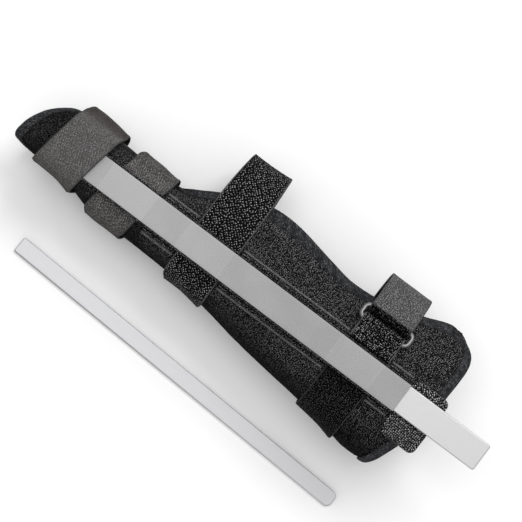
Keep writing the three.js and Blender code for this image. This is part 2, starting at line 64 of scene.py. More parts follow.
# Body outline.
DORSAL_EDGE = [
    (-144, 11), (-132, 15.5), (-122, 18.5), (-105, 18.5), (-58, 17.5), (-50, 22), (-40, 28.5),
    (-28, 34), (-14, 38.5), (1, 38.5), (24, 34), (40, 31.5), (64, 34), (80, 39.6), (94, 44.6),
    (108, 43.4),
]
PALMAR_EDGE = [
    (-144, 8), (-112, 13), (-60, 12.5), (-41, 18), (0, 26), (36, 24), (80, 30), (108, 30),
]
TIP_OUTLINE = [
    (-235, -120), (-200, -131), (-160, -136), (-120, -133), (-90, -130),
    (-65, -138), (-35, -142.6), (0, -142), (25, -140.5), (50, -137), (75, -130.5),
]
FOREARM_OUTLINE = [
    (-235, 94), (-210, 103), (-150, 103.5), (-90, 98), (-60, 101.5),
    (-25, 107), (0, 109.2), (35, 109.6), (50, 110), (61, 109.6), (69, 107), (75, 99),
]
FIRST_TURN = 75
LAST_TURN = -235
BODY_LENGTH = 250
BODY_GIRTH = 150
CORNER_RADIUS = 7
RIM_STEPS = (150, 110)

# Lifts, inner face then outer face.
LINING = (0, 0.7)
FOAM = (0.95, 4.45)
COVER = (4.7, 5.8)
SEWN_STRAP = 6.3
OVER_BINDING = 8.4
PALMAR_STRAP = 8.1
HOOK_PATCH = (9.6, 10.4)
FLAP = 10.6
RAISED_STRAP = 13.7
POCKET_BASE = (8.1, 8.7)
STAY_LIFT = 9.3
POCKET_ROOF = (11.5, 12.1)
POCKET_WALL_FOOT = 9.1
SEAM_TAPE = (6.0, 6.9)
SEAM_CORD = 7.1
TONGUE = (7.7, 8.9)
TONGUE_HOOK = (9.1, 9.85)
PALMAR_POCKET = (6.1, 7.75)

# Ripples of the cover: height, size of the lumps and seed.
COVER_RIPPLES = [(0.22, 24, 3), (0.12, 7, 9)]
LINING_RIPPLE = 0.18

# Binding: distance in from the rim and height above the cloth, along each of its two lips.
OUTER_LIP = [(3.6, 0.15), (3.6, 0.75), (2.6, 1.0), (1.2, 1.05)]
INNER_LIP = [(1.2, 1.0), (2.6, 0.95), (3.6, 0.7), (3.6, 0.15)]
LIP_HEIGHT = 0.95
BINDING_OVERHANG = 1.7
BINDING_PINCH = 0.45
BINDING_GIRTH = 14

# Stitches: pitch, length and girth, then their shape from end to end.
BINDING_STITCH = (2.6, 1.8, 0.42)
CORD_STITCH = (1.1, 1.25, 0.34)
CORD_SLANT = (0.6, 0.8)
STITCH_RINGS = [(-1, 0.3), (-0.72, 1), (0.72, 1), (1, 0.3)]
STITCH_SIDES = 6

# Straps.
STRAP_THICKNESS = 1.3
SEWN_END = -203
HOOK_TURNS = (158, 200)
FLAP_END = 206
DRAWN_IN = 0.11
SELVEDGE_RISE = 0.14
STRAPS = [
    {"name": "fingertip", "centre": -112.5, "width": 26, "slant": 4.5, "fold": 64,
     "raised": True, "cloth": "fingertip_webbing"},
    {"name": "finger", "centre": -77.5, "width": 25, "slant": 4, "fold": 66,
     "raised": False, "cloth": "webbing"},
    {"name": "palm", "centre": -28, "width": 26, "slant": 0, "fold": 70,
     "raised": False, "cloth": "dotted_webbing", "widest_from": -29},
]
WRIST_CENTRE = 65.5
WRIST_WIDTH = 24.5
WRIST_FIRST_TURN = -18
WRIST_RING_TURN = 62

# Ring and anchor.
RING_LENGTH = 31
RING_PITCH = 7.5
RING_WIRE = 2.5
RING_CORNER = 2.6
RING_LIFT = 9.6
RING_Y = 24.6
RING_CLEARANCE = 0.45
RING_TILT_PLAY = 1.1
ANCHOR_START_Y = 9.6
FOLD_RADIUS = RING_WIRE / 2 + RING_CLEARANCE + STRAP_THICKNESS / 2

# Stays and pockets.
STAY_START = -100
STAY = {"length": 243, "width": 15, "thickness": 1.8, "start_corner": 1.2, "end_corner": 1.2}
STAY_BEVEL = 0.5
POCKET_SPAN = (-118, 93)
POCKET_HALF = 9
WINDOW_HALF = 7.9
WALL_INNER = 8.1
TAPE_SIDES = (9.4, 12.2)
TAPE_RUNS = {"knuckle": (-61.8, -42), "hand": (-14, 52.4), "cuff": (78.6, 92)}
SEAM_CORD_Y = 11.7
SEAM_CORD_HALF = (0.6, 0.42)
TONGUE_SPAN = (93.4, 114)
TONGUE_SIDES = (-20, 12.5)
TONGUE_HOOK_SPAN = (95, 112.5)
TONGUE_HOOK_SIDES = (-18.5, -8.8)
SLEEVE_SPAN = (-118, 97)
SLEEVE_HALF = 6.5
LOOSE_STAY = {
    "length": 212, "width": 9, "thickness": 2, "start_corner": 1, "end_corner": 3.2, "lean": 0.5,
}
LOOSE_PLACE = (-111.2, -55.3, 0)
LOOSE_TURN = -2.4

# Frosted window: tones at its two ends, then the bands (from X, to X, how much paler).
FILM_TONES = (0.38, 0.3)
FILM_BANDS = [(-92, -64.4, 0.09), (-42.7, -16.4, 0.05), (51.4, 77, 0.05)]

# Painted shade: the dark warm tone that a strap's face is blended towards at its fold and past the
# little-finger side.
PAINTED_SHADE_TONE = (0.016, 0.008, 0.007)

# Camera, floor and lights. The view's distance and the lights' target are in metres.
VIEW_AZIMUTH = 37.0
VIEW_ELEVATION = 88.5
VIEW_DISTANCE = 1.2
VIEW_CENTRE = (-4.0, 12.5, 56)
VIEW_FIELD = 261
FLOOR_HALF = 3000
LIGHT_TARGET = (0, 0, 0.03)

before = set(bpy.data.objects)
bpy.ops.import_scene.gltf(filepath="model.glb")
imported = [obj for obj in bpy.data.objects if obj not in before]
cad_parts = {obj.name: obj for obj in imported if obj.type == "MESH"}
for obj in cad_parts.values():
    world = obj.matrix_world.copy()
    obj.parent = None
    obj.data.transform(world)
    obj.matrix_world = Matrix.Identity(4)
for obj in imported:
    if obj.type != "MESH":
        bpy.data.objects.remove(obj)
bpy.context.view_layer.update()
STAY_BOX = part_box("dorsal_stay")
SHIFT = (
    STAY_BOX[0].x / MM - STAY_START + STAY["thickness"] * sin(atan(ROOF_SLOPE)),
    (STAY_BOX[0].y + STAY_BOX[1].y) / 2 / MM,
    0,
)


# --- shape of the cavity

def smooth_step(low, high, value):
    t = np.clip((np.asarray(value, float) - low) / (high - low), 0, 1)
    return t * t * (3 - 2 * t)


def mix(low, high, share):
    return low + (high - low) * share


def unit(vectors):
    return vectors / np.linalg.norm(vectors, axis=-1, keepdims=True)


def square_to(vectors, directions):
    """Unit vectors as near to the given ones as can be, and square to the directions."""
    return unit(vectors - directions * np.einsum("ij,ij->i", vectors, directions)[:, None])


def reach_along(line):
    """The distance along a line of points, at each point."""
    steps = np.linalg.norm(np.diff(line, axis=0), axis=1)
    return np.concatenate([[0], np.cumsum(steps)])


def smooth_values(knots, values, slopes, wanted):
    """Values at the wanted places of the smooth curve with these values and slopes at its knots."""
    i = np.clip(np.searchsorted(knots, wanted, side="right") - 1, 0, len(knots) - 2)
    span = knots[i + 1] - knots[i]
    t = (wanted - knots[i]) / span
    if values.ndim > 1:
        span, t = span[:, None], t[:, None]
    lean = slopes[i] * span * t * (1 - t) ** 2
    lean_next = slopes[i + 1] * span * t * t * (t - 1)
    return mix(values[i], values[i + 1], t * t * (3 - 2 * t)) + lean + lean_next


def curve_through(points):
    """A smooth curve through (position, value) pairs, flat beyond its two ends."""
    xs, ys = np.array(points, float).T
    slopes = np.zeros(len(points))
    slopes[1:-1] = (ys[2:] - ys[:-2]) / (xs[2:] - xs[:-2])
    return lambda position: smooth_values(xs, ys, slopes, np.clip(position, xs[0], xs[-1]))


ulnar_half_width = curve_through(ULNAR_HALF_WIDTHS)
radial_half_width = curve_through(RADIAL_HALF_WIDTHS)
dorsal_edge_y = curve_through(DORSAL_EDGE)
palmar_edge_y = curve_through(PALMAR_EDGE)
tip_x = curve_through(TIP_OUTLINE)
forearm_x = curve_through(FOREARM_OUTLINE)


def cavity_height(x):
    return TIP_HEIGHT + (np.asarray(x, float) - TIP_X) * ROOF_SLOPE


def centre_z(x):
    return FLOOR_Z + cavity_height(x) / 2


def half_width(x, side):
    return np.where(np.asarray(side) > 0, radial_half_width(x), ulnar_half_width(x))


def points_of(x, y, z):
    x, y, z = np.broadcast_arrays(x, y, z)
    return np.stack([x, y, z], axis=-1).astype(float)


def wrap_points(x, turn, lift, width_x=None):
    """Points of the wrapped surface, by turn in radians. A stiff band has its width at width_x."""
    across = np.sin(turn)
    up = np.cos(turn)
    tall = cavity_height(x) / 2 + lift
    wide = half_width(x if width_x is None else width_x, across) + lift
    total = np.abs(up / tall) ** SECTION_POWER + np.abs(across / wide) ** SECTION_POWER
    reach = total ** (-1 / SECTION_POWER)
    return points_of(x, reach * across, centre_z(x) + reach * up)


def rise_at(x, y, lift):
    share = np.minimum(np.abs(y) / (half_width(x, y) + lift), 0.999)
    tall = cavity_height(x) / 2 + lift
    return tall * (1 - share ** SECTION_POWER) ** (1 / SECTION_POWER)


def roof_points(x, y, lift):
    return points_of(x, y, centre_z(x) + rise_at(x, y, lift))


def floor_points(x, y, lift):
    return points_of(x, y, centre_z(x) - rise_at(x, y, lift))


def edge_turn(x, y):
    return np.arctan2(y, rise_at(x, y, COVER[1]))


def rim_distances(u, v):
    """Distances from the panel's nearest end and from its nearest long edge."""
    return np.minimum(u, 1 - u) * BODY_LENGTH, np.minimum(v, 1 - v) * BODY_GIRTH


def round_corners(u, v):
    """Draws the corners of the panel in, so that its rim turns each one on a smooth arc."""
    end, side = (np.maximum(0, CORNER_RADIUS - distance) for distance in rim_distances(u, v))
    drawn = np.maximum(end, side) / np.maximum(np.hypot(end, side), 0.001)
    moved_u = end * (1 - drawn) / BODY_LENGTH
    moved_v = side * (1 - drawn) / BODY_GIRTH
    return u + np.where(u < 0.5, moved_u, -moved_u), v + np.where(v < 0.5, moved_v, -moved_v)


def body_place(u, v):
    """x and turn on the body panel: u from fingertips to forearm, v from the dorsal edge round."""
    u, v = round_corners(np.asarray(u, float), np.asarray(v, float))
    nominal = mix(FIRST_TURN, LAST_TURN, v)
    x = mix(tip_x(nominal), forearm_x(nominal), u)
    first = edge_turn(x, dorsal_edge_y(x))
    last = -pi - edge_turn(x, palmar_edge_y(x))
    return x, mix(first, last, v)


# --- meshes

def add_object(name, data):
    added = bpy.data.objects.new(name, data)
    bpy.context.scene.collection.objects.link(added)
    return added


def make_object(name, points, faces, look, cloth=None):
    """A mesh object from points in millimetres. cloth holds each point's place on its fabric."""
    placed = np.asarray(points, float).reshape(-1, 3) + SHIFT
    mesh = bpy.data.meshes.new(name)
    mesh.from_pydata((placed * MM).tolist(), [], faces)
    if cloth is not None:
        attribute = mesh.attributes.new("cloth", "FLOAT_VECTOR", "POINT")
        attribute.data.foreach_set("vector", np.asarray(cloth, np.float32).reshape(-1))
    mesh.materials.append(LOOKS[look])
    mesh.shade_smooth()
    mesh.validate()
    return add_object(name, mesh)


def face_out(points, faces):
    """Turns every face of a closed mesh round if its four-sided faces point inwards."""
    quads = np.array([f for f in faces if len(f) == 4])
    a, b, c, d = (points[quads[:, k]] for k in range(4))
    volume = np.einsum("ij,ij->", a, np.cross(b, c)) + np.einsum("ij,ij->", a, np.cross(c, d))
    return faces if volume > 0 else [f[::-1] for f in faces]


def edge_samples(count, length, rim, round_start=True, round_end=True):
    """Places from 0 to 1 with extra ones near the ends, and how thick the cloth is at each."""
    near = np.array([0.0, 0.12, 0.35, 0.68]) * rim / length
    thick = np.sqrt(1 - (1 - near * length / rim) ** 2) * 0.8 + 0.2
    margin = rim / length * 1.2
    even = np.linspace(0, 1, count + 1)
    inner = even[(even > margin) & (even < 1 - margin)]
    start = (near, thick) if round_start else ([0], [1])
    end = (1 - near[::-1], thick[::-1]) if round_end else ([1], [1])
    return (np.concatenate([start[0], inner, end[0]]),
            np.concatenate([start[1], np.ones(len(inner)), end[1]]))


def slab_faces(rows, columns):
    """Faces of a closed sheet: an inner grid, then an outer grid, of rows by columns points."""
    size = rows * columns
    grid = np.arange(size).reshape(rows, columns)
    sheet = np.stack([grid[:-1, :-1], grid[:-1, 1:], grid[1:, 1:], grid[1:, :-1]], axis=-1)
    sheet = sheet.reshape(-1, 4)
    rim = np.concatenate([grid[0, :-1], grid[:-1, -1], grid[-1, :0:-1], grid[:0:-1, 0]])
    following = np.roll(rim, -1)
    walls = np.stack([following, rim, rim + size, following + size], axis=1)
    return np.concatenate([sheet, sheet[:, ::-1] + size, walls]).tolist()


def slab_object(name, inner, outer, look, thin):
    """A closed sheet between two grids of points. thin says how full its thickness is."""
    middle = (inner + outer) / 2
    inner = middle + (inner - middle) * thin[..., None]
    outer = middle + (outer - middle) * thin[..., None]
    points = np.concatenate([inner.reshape(-1, 3), outer.reshape(-1, 3)])
    cloth = cloth_places(outer).reshape(-1, 3)
    both = np.concatenate([cloth + (40, 0, 0), cloth])
    faces = face_out(points, slab_faces(*inner.shape[:2]))
    return make_object(name, points, faces, look, both)


def cloth_places(grid):
    """Each point's distance along and across its cloth, and from its nearest side edge."""
    steps = [np.linalg.norm(np.diff(grid, axis=k), axis=2).mean(axis=1 - k) for k in (0, 1)]
    reaches = [np.concatenate([[0], np.cumsum(step)]) for step in steps]
    along, across = np.meshgrid(*reaches, indexing="ij")
    edge = np.minimum(across, across[:, -1:] - across)
    return np.stack([along, across, edge], axis=2)


def ripple(points, size, seed):
    """Smooth noise from -1 to 1 at each point of a grid, with lumps of the given size."""
    flat = points.reshape(-1, 3) / size
    values = [noise.noise(Vector((p[0] + seed, p[1] - seed, p[2]))) for p in flat]
    return np.array(values).reshape(points.shape[:-1])


def tube_faces(base, count, size, closed):
    """Faces of a tube of matching rings, whose first point is number base: joined up or capped."""
    faces = []
    for k in range(count if closed else count - 1):
        ring = base + k * size
        following = base + (k + 1) % count * size
        for m in range(size):
            side = (m + 1) % size
            faces.append((ring + m, ring + side, following + side, following + m))
    if not closed:
        last = base + (count - 1) * size
        faces.append(tuple(range(base, base + size))[::-1])
        faces.append(tuple(range(last, last + size)))
    return faces


def swept_object(name, sections, look, closed=True, cloth=None):
    """A tube swept through matching closed sections, as a ring or with capped ends."""
    points = sections.reshape(-1, 3)
    faces = face_out(points, tube_faces(0, *sections.shape[:2], closed))
    return make_object(name, points, faces, look, cloth)


def stitch_object(name, places, directions, ups, length, girth, look):
    """A run of stitches: small rounded bars, each at a place, along a direction."""
    points = []
    faces = []
    for place, direction, up in zip(places, directions, ups):
        side = np.cross(up, direction)
        faces += tube_faces(len(points), len(STITCH_RINGS), STITCH_SIDES, False)
        for ring, wide in STITCH_RINGS:
            middle = place + direction * ring * length / 2
            for m in range(STITCH_SIDES):
                angle = 2 * pi * m / STITCH_SIDES
                offset = side * cos(angle) + up * sin(angle) * 0.7
                points.append(middle + offset * girth / 2 * wide)
    return make_object(name, points, faces, look)


def values_along(values, reach, distances):
    """Values known at each reach along a line, read off at other distances."""
    return np.stack([np.interp(distances, reach, part) for part in values.T], axis=1)


def stitch_line(line, ups, pitch):
    """Even places along a line of points, with the line's direction and the up at each."""
    reach = reach_along(line)
    wanted = np.arange(pitch / 2, reach[-1], pitch)
    before, places, after = (values_along(line, reach, wanted + step) for step in (-0.4, 0, 0.4))
    directions = unit(after - before)
    return places, directions, square_to(values_along(ups, reach, wanted), directions)


def sew(name, line, ups, stitch, look, slant=(1, 0)):
    """Stitches along a line on the splint. slant: how far each points along it and across it."""
    pitch, length, girth = stitch
    places, directions, ups = stitch_line(line, ups, pitch)
    directions = directions * slant[0] + np.cross(ups, directions) * slant[1]
    piece = stitch_object(name, places, directions, ups, length, girth, look)
    finish_piece(piece)


def finish_piece(piece, node=None, body="splint"):
    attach(piece, body)
    if node:
        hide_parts(node)


# --- looks

class Nodes:
    """Short names for building a material. Every input is a value or another node's output."""

    def __init__(self, name):
        self.material = bpy.data.materials.new(name)
        self.material.use_nodes = True
        self.tree = self.material.node_tree
        self.shader = self.tree.nodes["Principled BSDF"]

    def feed(self, socket, value):
        if isinstance(value, bpy.types.NodeSocket):
            self.tree.links.new(value, socket)
        else:
            socket.default_value = value

    def new(self, kind, inputs=None, **settings):
        node = self.tree.nodes.new(kind)
        for key, value in settings.items():
            setattr(node, key, value)
        for key, value in (inputs or {}).items():
            self.feed(node.inputs[key], value)
        return node

    def set(self, **values):
        for name, value in values.items():
            self.feed(self.shader.inputs[name.replace("_", " ")], value)

    def math(self, operation, first, second):
        return self.new("ShaderNodeMath", {0: first, 1: second}, operation=operation).outputs[0]

    def times(self, first, second):
        return self.math("MULTIPLY", first, second)

    def cloth_parts(self):
        """Distances along the cloth, across it and from its nearest side edge."""
        attribute = self.new("ShaderNodeAttribute", attribute_name="cloth")
        return self.new("ShaderNodeSeparateXYZ", {0: attribute.outputs["Vector"]}).outputs

    def cloth(self):
        """The place on the cloth, flat and in millimetres: along it, then across it."""
        along, across, _ = self.cloth_parts()
        return self.new("ShaderNodeCombineXYZ", {0: along, 1: across}).outputs[0]

    def object_place(self):
        return self.new("ShaderNodeTexCoord").outputs["Object"]

    def place(self, source, scale=(1, 1, 1), shift=(0, 0, 0), turn=0.0):
        inputs = {"Vector": source, "Scale": scale, "Location": shift,
                  "Rotation": (0, 0, turn * DEGREE)}
        return self.new("ShaderNodeMapping", inputs).outputs["Vector"]

    def noise(self, vector, scale, detail, rough):
        inputs = {"Vector": vector, "Scale": scale, "Detail": detail, "Roughness": rough}
        return self.new("ShaderNodeTexNoise", inputs).outputs["Fac"]

    def grain(self, scale, detail=2.0, rough=0.5):
        """Noise that is fixed to the object: its lumps a metre along X, Y and Z."""
        return self.noise(self.place(self.object_place(), scale), 1.0, detail, rough)

    def cells(self, vector, scale, randomness):
        inputs = {"Vector": vector, "Scale": scale, "Randomness": randomness}
        node = self.new("ShaderNodeTexVoronoi", inputs, voronoi_dimensions="2D")
        return node.outputs["Distance"], node.outputs["Color"]

    def ramp(self, value, low, high, low_out=0.0, high_out=1.0):
        inputs = {0: value, 1: low, 2: high, 3: low_out, 4: high_out}
        node = self.new("ShaderNodeMapRange", inputs, interpolation_type="SMOOTHSTEP")
        return node.outputs[0]

    def between(self, value, low, high, soft):
        """1 where the value lies between low and high, fading to 0 over a soft edge."""
        rise = self.ramp(value, low - soft / 2, low + soft / 2)
        return self.times(rise, self.ramp(value, high - soft / 2, high + soft / 2, 1.0, 0.0))

    def drift(self, value, cloth, scale, low, high):
        """A value that is slowly raised and lowered over the cloth."""
        return self.times(value, self.ramp(self.noise(cloth, scale, 3, 0.6), 0.3, 0.7, low, high))

    def blend(self, factor, first, second):
        inputs = {0: factor, 6: rgba(first), 7: rgba(second)}
        return self.new("ShaderNodeMix", inputs, data_type="RGBA").outputs[2]

    def bump(self, height, strength, distance):
        inputs = {"Height": height, "Strength": strength, "Distance": distance * MM}
        self.set(Normal=self.new("ShaderNodeBump", inputs).outputs[0])


def rgba(colour):
    """A colour with its alpha. A plain number is a grey."""
    if isinstance(colour, (int, float)):
        colour = grey(colour)
    return (*colour, 1) if isinstance(colour, tuple) else colour


def grey(value, warmth=0.0):
    """A near-neutral colour; warmth above 0 turns it red-brown and below 0 blue."""
    return (value * (1 + warmth), value, value * (1 - warmth * 0.4))


def loop_tops(n, cloth, pitch, regular, size, low):
    """Tops of loops as separate dots: their height, and how well each one catches the light."""
    distance, tints = n.cells(cloth, 1 / pitch, regular)
    tops = n.ramp(distance, size, size * 0.35)
    tint = n.new("ShaderNodeSeparateColor", {0: tints}).outputs[0]
    return tops, n.times(tops, n.ramp(tint, 0, 1, low))


def loop_pile(n, dark, speck, pitch, relief, haze=0.5, painted_shade=None):
    """Brushed loop cloth: black tangled pile with pale loop tops scattered over it, partly paler
    fibres and partly painted glints where they catch the light.

    The last setting gives two distances round the body between which the cloth is painted
    darker, as shade on the little-finger side turned from the light; it is darker towards the
    fingertips too.
    """
    cloth = n.cloth()
    tops, glint = loop_tops(n, cloth, pitch, 1.0, 0.38, 0.0)
    moved = n.place(cloth, shift=(31, 17, 0))
    small_tops, small = loop_tops(n, moved, pitch * 0.68, 1.0, 0.45, 0.15)
    lit = n.math("MAXIMUM", glint, n.times(small, haze))
    shaded = n.drift(lit, cloth, 0.11, 0.8, 1.1)
    if painted_shade:
        round_body, along_body, _ = n.cloth_parts()
        # Painted shade: darker round the little-finger side, which is turned from the light; then
        # darker towards the fingertips.
        shaded = n.times(shaded, n.ramp(round_body, *painted_shade, 1.0, 0.2))
        shaded = n.times(shaded, n.ramp(along_body, 15, 40, 0.55))
    n.set(Base_Color=n.blend(shaded, dark, speck), Roughness=0.9, Specular_IOR_Level=0.02)
    n.bump(n.math("ADD", tops, small_tops), 0.8, relief)


def webbing(n, dark, light, pitch, regular, size, low, selvedge, turn=0, painted_shade=None):
    """Loop-faced webbing: close rows of loops between two plain ribbed selvedges.

    The last setting gives how bright the face stays at its fold and past the little-finger side,
    as painted shade where the strap turns away from the light.
    """
    cloth = n.cloth()
    along, _, edge = n.cloth_parts()
    tops, glint = loop_tops(n, n.place(cloth, turn=turn), pitch, regular, size, low)
    face = n.blend(n.drift(glint, cloth, 0.13, 0.75, 1.15), dark, light)
    if painted_shade:
        # Painted shade at the fold and past the little-finger side, where the strap turns from the
        # light.
        at_fold = n.ramp(along, 2, 13, painted_shade[0])
        past_side = n.ramp(along, 36, 62, 1.0, painted_shade[1])
        face = n.blend(n.times(at_fold, past_side), PAINTED_SHADE_TONE, face)
    plain = n.ramp(edge, 0.75, 1.1, 1.0, 0.0)
    threads = n.noise(n.place(cloth, (0.9, 2.5, 1)), 1.0, 2, 0.6)
    rib = n.blend(n.ramp(threads, 0.35, 0.65), tuple(c * 0.45 for c in rgba(selvedge)[:3]),
                  selvedge)
    n.set(Base_Color=n.blend(plain, face, rib), Roughness=0.85, Specular_IOR_Level=0.03)
    n.bump(n.times(tops, n.ramp(edge, 0.75, 1.1)), 0.8, 0.35)


def ribbed(n, dark, light, pitch):
    """Plain folded tape: uneven ribs across its run and loose pale fibres."""
    cloth = n.cloth()
    waves = {"Vector": cloth, "Scale": 0.314 / pitch, "Distortion": 4.0, "Detail": 2}
    ribs = n.new("ShaderNodeTexWave", waves, wave_type="BANDS", bands_direction="X").outputs["Fac"]
    _, fibres = loop_tops(n, cloth, pitch * 1.1, 1.0, 0.45, 0.0)
    tone = n.drift(n.math("MAXIMUM", n.times(ribs, 0.3), fibres), cloth, 0.35, 0.35, 1.1)
    n.set(Base_Color=n.blend(tone, dark, light), Roughness=0.85, Specular_IOR_Level=0.04)
    n.bump(n.math("ADD", ribs, fibres), 0.6, 0.2)


def hook_tape(n, value):
    """Moulded hook tape: a black backing with rows of small shiny hooks."""
    tops, glint = loop_tops(n, n.cloth(), 1.05, 0.5, 0.4, 0.3)
    n.set(Base_Color=n.blend(glint, 0.006, value), Roughness=0.5, Specular_IOR_Level=0.1)
    n.bump(tops, 1.0, 0.6)


def foam(n):
    pores, _ = n.cells(n.cloth(), 2.2, 1.0)
    open_pores = n.ramp(pores, 0.1, 0.5)
    n.set(Base_Color=n.blend(open_pores, 0.012, 0.045), Roughness=0.95, Specular_IOR_Level=0.1)
    n.bump(open_pores, 0.5, 0.3)


def window_film(n):
    """Frosted film over the stay: pale and matt, a little paler where a strap passes under it."""
    cloth = n.cloth()
    along = n.cloth_parts()[0]
    grain = n.noise(n.place(cloth, turn=30), 2.6, 2, 0.6)
    clouds = n.noise(cloth, 0.05, 2, 0.4)
    fade = n.ramp(along, 20, 190)
    tone = n.math("ADD", fade, n.ramp(clouds, 0.35, 0.65, -0.18, 0.18))
    tone = n.blend(tone, *FILM_TONES)
    weave, _ = n.cells(n.place(cloth, turn=45), 1.0, 0.35)
    for low, high, share in FILM_BANDS:
        start, end = low - POCKET_SPAN[0], high - POCKET_SPAN[0]
        tone = n.blend(n.times(n.between(along, start, end, 1.2), share), tone, 0.8)
        for edge in (start, end):
            crease = n.between(along, edge - 0.5, edge + 0.5, 0.8)
            tone = n.blend(n.times(crease, 0.03), tone, 1.0)
    tone = n.blend(n.ramp(weave, 0.1, 0.5, 0.0, 0.16), tone, 0.1)
    n.set(Base_Color=n.blend(n.ramp(grain, 0.35, 0.65, 0, 0.2), tone, 0.65))
    n.set(Roughness=0.55, Alpha=0.9, Specular_IOR_Level=0.15)
    n.bump(grain, 0.15, 0.12)


def brushed_aluminium(n, low, high, blue):
    streaks = n.grain((60, 3500, 3500), 4, 0.65)
    blotch = n.grain((40, 120, 120))
    values = (low, high, (low + high) / 2)
    dark, light, middle = ((value, value, value * (1 + blue)) for value in values)
    tone = n.blend(n.ramp(streaks, 0.3, 0.7), dark, light)
    patchy = n.blend(n.ramp(blotch, 0.4, 0.7, 0, 0.3), tone, middle)
    n.set(Base_Color=patchy, Roughness=n.ramp(streaks, 0.2, 0.8, 0.3, 0.46), Metallic=0.6)
    n.bump(streaks, 0.12, 0.05)


def painted_shade_edge(n):
    """The bar's long edge on its -Y side: painted shade, dark and dull, with a painted reflection
    that lightens it towards one end.
    """
    edge_grain = n.grain((900, 300, 2500), 3, 0.6)
    along = n.new("ShaderNodeSeparateXYZ", {0: n.object_place()}).outputs[0]
    # Painted reflection: the edge gets lighter towards one end of the bar.
    painted_reflection = n.ramp(along, -0.11, 0.09)
    shaded_grain = n.blend(n.ramp(edge_grain, 0.3, 0.7), grey(0.03, 0.1), grey(0.1, 0.1))
    n.set(Base_Color=n.blend(painted_reflection, shaded_grain, 0.5), Roughness=0.5, Metallic=0.5)
    n.bump(edge_grain, 0.2, 0.1)


def steel_wire(n):
    marks = n.grain((900, 900, 900), 3, 0.6)
    n.set(Base_Color=n.blend(n.ramp(marks, 0.35, 0.75), 0.14, 0.26))
    n.set(Roughness=n.ramp(marks, 0.3, 0.7, 0.34, 0.5), Metallic=0.9)
    n.bump(marks, 0.08, 0.1)


def thread(n, value):
    twist = n.grain((2500, 2500, 2500), 1)
    n.set(Base_Color=n.blend(n.ramp(twist, 0.35, 0.65), value * 0.45, value))
    n.set(Roughness=0.7, Specular_IOR_Level=0.15)
    n.bump(twist, 0.3, 0.1)


def floor_paper(n):
    n.set(Base_Color=n.blend(n.grain((3, 3, 3)), 0.9, 0.93), Roughness=0.9)


# Each look: its maker, then the maker's settings. A webbing has its dark tone, light tone, then
# the pitch, regularity, size and least brightness of its loops, its selvedge's tone, the turn of
# its rows, and how bright it stays under painted shade at its fold and past the little-finger side.
LOOK_SETTINGS = {
    "webbing": (webbing, grey(0.04, 0.04), grey(0.4, 0.03), 0.85, 0.3, 0.42, 0.25,
                grey(0.08, 0.02), 40, (0.8, 0.7)),
    "fingertip_webbing": (webbing, grey(0.055, 0.03), grey(0.34, 0.02), 0.72, 0.4, 0.42, 0.35,
                          grey(0.07, 0.03), 40, (0.45, 0.62)),
    "dotted_webbing": (webbing, 0.003, 0.41, 1.3, 0.6, 0.3, 0.3, 0.1, 45),
    "coarse_webbing": (webbing, 0.001, 0.075, 1.05, 0.7, 0.38, 0.3, 0.04),
    "anchor_webbing": (webbing, 0.001, 0.34, 1.0, 0.8, 0.4, 0.1, 0.12),
    "tongue_webbing": (webbing, 0.004, 0.6, 1.1, 0.5, 0.4, 0.1, 0.1, 45),
    "smooth_webbing": (webbing, 0.045, 0.46, 0.62, 0.8, 0.42, 0.1, 0.1),
    "loop_pile": (loop_pile, 0.001, 0.43, 0.6, 0.5, 0.16, (40, 66)),
    "pocket_pile": (loop_pile, 0.003, 0.36, 0.72, 0.5, 0.26),
    "seam_pile": (loop_pile, 0.002, 0.5, 0.85, 0.5, 0.3),
    "lining": (loop_pile, 0.01, 0.06, 0.7, 0.2),
    "binding_tape": (ribbed, (0.006, 0.0062, 0.007), (0.15, 0.153, 0.163), 0.6),
    "seam_cord": (ribbed, 0.04, 0.42, 0.6),
    "hook_tape": (hook_tape, 0.35),
    "pale_hook_tape": (hook_tape, 0.5),
    "foam": (foam,),
    "window_film": (window_film,),
    "brushed_aluminium": (brushed_aluminium, 0.38, 0.43, 0.0),
    "blue_aluminium": (brushed_aluminium, 0.45, 0.51, 0.03),
    "painted_shade_edge": (painted_shade_edge,),
    "steel_wire": (steel_wire,),
    "thread": (thread, 0.2),
    "dark_thread": (thread, 0.06),
    "floor_paper": (floor_paper,),
}


def make_look(name, make, *settings):
    nodes = Nodes(name)
    make(nodes, *settings)
    return nodes.material


LOOKS = {name: make_look(name, *settings) for name, settings in LOOK_SETTINGS.items()}


# --- body

def body_grid(along_count, around_count, rim):
    """Places on the body panel, closer together near its rim, and how full the cloth is there."""
    u, u_full = edge_samples(along_count, BODY_LENGTH, rim)
    v, v_full = edge_samples(around_count, BODY_GIRTH, rim)
    v_grid, u_grid = np.meshgrid(v, u, indexing="ij")
    x, turn = body_place(u_grid, v_grid)
    return u_grid, v_grid, x, turn, np.minimum.outer(v_full, u_full)


def outer_cover():
    u, v, x, turn, full = body_grid(170, 110, 0.6)
    base = wrap_points(x, turn, COVER[1])
    near_rim = smooth_step(7, 1, np.minimum(*rim_distances(u, v)))
    puff = sum(height * ripple(base, size, seed) for height, size, seed in COVER_RIPPLES)
    lift = COVER[1] + puff * (1 - near_rim) - BINDING_PINCH * near_rim
    piece = slab_object("outer_cover_cloth", wrap_points(x, turn, COVER[0]),
                        wrap_points(x, turn, lift), "loop_pile", full)
    finish_piece(piece, "outer_cover")


def foam_pad():
    _, _, x, turn, full = body_grid(90, 60, 1.5)
    inner, outer = (wrap_points(x, turn, lift) for lift in FOAM)
    piece = slab_object("foam_core", inner, outer, "foam", full)
    finish_piece(piece, "foam_pad")


